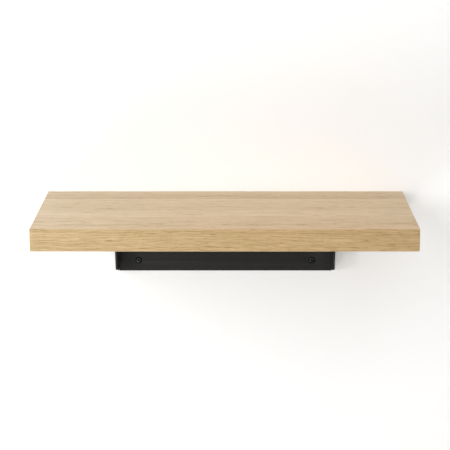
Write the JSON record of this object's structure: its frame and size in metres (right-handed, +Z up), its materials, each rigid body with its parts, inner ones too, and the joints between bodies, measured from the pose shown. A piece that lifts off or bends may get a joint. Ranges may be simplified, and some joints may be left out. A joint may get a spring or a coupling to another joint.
{
  "type": "floating wall shelf",
  "caption": "Thick oak wall shelf with eased edges on a black folded-steel bracket that is screwed to the wall under it.",
  "frame": {"origin": "centre of the four wall screws, on the plane of the wall", "axes": "+X along the shelf, +Y into the wall, +Z up; the shelf stands out on the -Y side"},
  "size_m": [0.6, 0.3073, 0.139],
  "materials": {
    "oak": "planed and sanded oak under a matt clear oil",
    "black_powder_coat": "fine-textured matt black powder coat on steel sheet",
    "black_screw_steel": "black oxide, lightly oiled",
    "zinc_screw_steel": "bright zinc plate"
  },
  "bodies": {
    "root": {"oak_back_stave": "oak", "oak_second_stave": "oak", "oak_third_stave": "oak", "oak_front_stave": "oak", "bracket": "black_powder_coat", "wall_screws": "black_screw_steel", "board_screws": "zinc_screw_steel", "board_washers": "zinc_screw_steel"}
  },
  "joints": []
}
